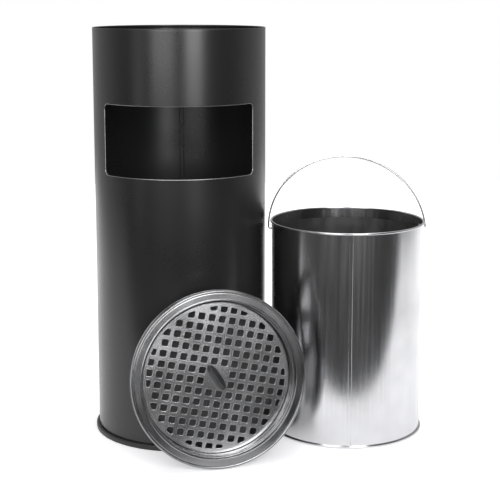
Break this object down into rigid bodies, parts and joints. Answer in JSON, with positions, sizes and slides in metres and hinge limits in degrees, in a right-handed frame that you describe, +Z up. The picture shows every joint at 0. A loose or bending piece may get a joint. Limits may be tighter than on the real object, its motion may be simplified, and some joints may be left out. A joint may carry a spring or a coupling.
{
  "type": "ashtray bin",
  "caption": "Round steel ashtray bin shown taken apart: tall shell with a front aperture and floor ring, bucket liner with a wire bail, and a rimmed ash pan with a perforated sieve.",
  "frame": {"origin": "on the floor at the centre of the outer shell's foot", "axes": "+Z up along the shell's axis, the waste aperture faces -Y, the liner stands beside the shell on the +X side"},
  "size_m": [0.5048, 0.3564, 0.61],
  "materials": {
    "black_coated_steel": "satin black powder coat",
    "floor_ring_plastic": "matt black",
    "galvanised_steel": "smooth bright galvanised sheet",
    "wire_steel": "bright drawn wire",
    "pan_steel": "satin pressed sheet",
    "sieve_steel": "satin punched sheet"
  },
  "bodies": {
    "bin": {"outer_shell": "black_coated_steel", "base_plate": "black_coated_steel", "base_ring": "floor_ring_plastic", "tray_lug_front": "black_coated_steel", "tray_lug_right": "black_coated_steel", "tray_lug_back": "black_coated_steel", "tray_lug_left": "black_coated_steel"},
    "liner": {"liner_wall": "galvanised_steel", "liner_rim_wire": "wire_steel", "liner_base": "galvanised_steel"},
    "bail": {"bail": "wire_steel"},
    "ashtray": {"ash_pan": "pan_steel"},
    "sieve": {"sieve": "sieve_steel", "sieve_grip": "sieve_steel"}
  },
  "joints": [
    {"name": "liner_lift", "type": "slide", "parent": "bin", "child": "liner", "axis": [0, 0, 1], "range_m": [0, 0.2]},
    {"name": "bail_swing", "type": "hinge", "parent": "liner", "child": "bail", "pos_m": [0.2518, -0.0133, 0.3086], "axis": [1, 0, 0], "range_deg": [-66, 130]},
    {"name": "tray_lift", "type": "slide", "parent": "bin", "child": "ashtray", "axis": [0, 0, 1], "range_m": [0, 0.15]},
    {"name": "sieve_lift", "type": "slide", "parent": "ashtray", "child": "sieve", "axis": [0.2401, -0.9631, 0.1219], "range_m": [0, 0.05]}
  ]
}
